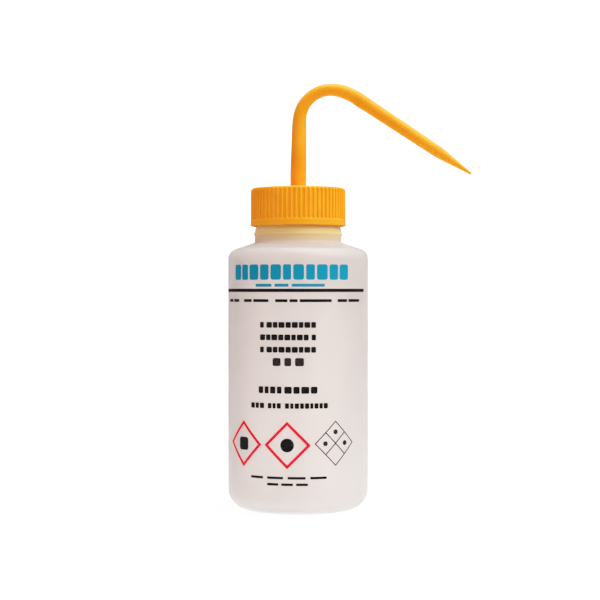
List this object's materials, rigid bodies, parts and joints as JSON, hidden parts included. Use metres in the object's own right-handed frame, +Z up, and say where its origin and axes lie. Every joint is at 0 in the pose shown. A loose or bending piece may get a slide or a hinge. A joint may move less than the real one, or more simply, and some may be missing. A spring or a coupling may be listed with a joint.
{
  "type": "wash bottle",
  "caption": "Wide-neck squeeze wash bottle with a ribbed screw cap, a bent tapered spout that swivels, a dip tube and a ball vent valve under the cap.",
  "frame": {"origin": "centre of the ring that the bottle stands on", "axes": "+Z up along the bottle's axis, +X towards the side that the spout points to"},
  "size_m": [0.1323, 0.076, 0.2303],
  "materials": {
    "bottle_plastic": "satin, milky and translucent",
    "closure_plastic": "satin, moulded",
    "insert_plastic": "satin, moulded",
    "tube_plastic": "satin, translucent",
    "gasket_foam": "matt, fine closed-cell foam",
    "ball_steel": "ground and polished"
  },
  "bodies": {
    "bottle": {"bottle": "bottle_plastic"},
    "closure": {"sealing_disc": "insert_plastic", "lip_gasket": "gasket_foam", "valve_body": "insert_plastic", "ball_retainer": "insert_plastic"},
    "cap": {"screw_cap": "closure_plastic"},
    "spout": {"spout": "closure_plastic", "dip_tube": "tube_plastic"},
    "ball": {"valve_ball": "ball_steel"}
  },
  "joints": [
    {"name": "closure_lift", "type": "slide", "parent": "bottle", "child": "closure", "axis": [0, 0, 1], "range_m": [0, 0.006]},
    {"name": "cap_turn", "type": "hinge", "parent": "closure", "child": "cap", "pos_m": [0, 0, 0.16], "axis": [0, 0, 1], "range_deg": [0, 540]},
    {"name": "spout_swivel", "type": "hinge", "parent": "closure", "child": "spout", "pos_m": [0, 0, 0.165], "axis": [0, 0, 1], "continuous": true},
    {"name": "ball_lift", "type": "slide", "parent": "closure", "child": "ball", "axis": [0, 0, 1], "range_m": [0, 0.0014]}
  ],
  "couplings": [
    {"joint": "closure_lift", "follows": "cap_turn", "m_per_rad": 0.0006366}
  ]
}
